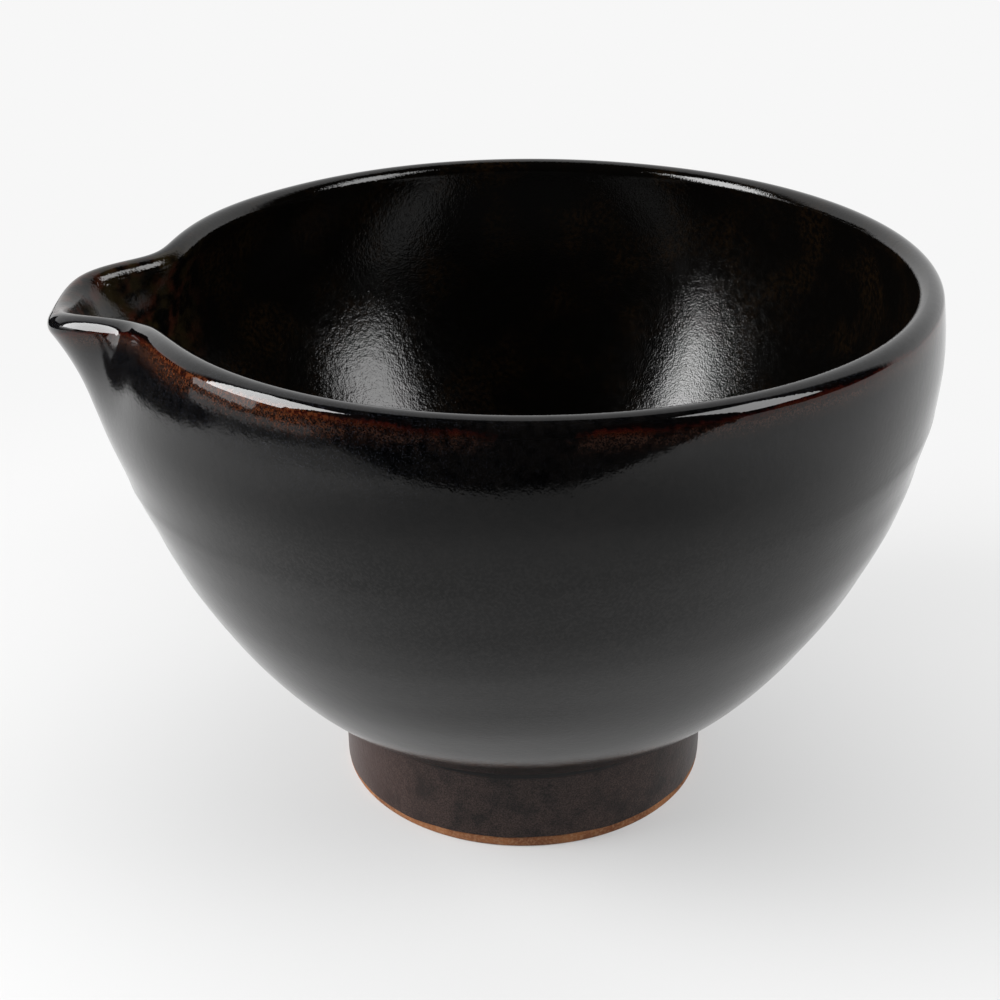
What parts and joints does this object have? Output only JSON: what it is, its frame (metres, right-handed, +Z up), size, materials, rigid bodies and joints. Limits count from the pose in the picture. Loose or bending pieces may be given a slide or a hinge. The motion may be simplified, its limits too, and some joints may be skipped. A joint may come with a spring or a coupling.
{
  "type": "spouted bowl",
  "caption": "Deep wheel-thrown stoneware bowl on a turned foot ring, with a pulled and pinched pouring spout in its rounded lip and an iron-black glaze.",
  "frame": {"origin": "on the table, under the middle of the whole bowl's length, spout included", "axes": "+Z up, square to the table; the spout pours towards -X; +Y completes a right-handed frame"},
  "size_m": [0.136, 0.1346, 0.0896],
  "materials": {
    "fired_clay": "bare fired clay, fine sanded grain",
    "inside_glaze": "glossy black glaze",
    "outside_glaze": "satin black glaze, breaking to rust brown under the lip",
    "foot_glaze": "satin mottled brown-black glaze"
  },
  "bodies": {
    "root": {"thrown_wall": "fired_clay", "turned_foot": "fired_clay", "inner_glaze": "inside_glaze", "outer_glaze": "outside_glaze", "foot_glaze": "foot_glaze", "recess_glaze": "foot_glaze"}
  },
  "joints": []
}
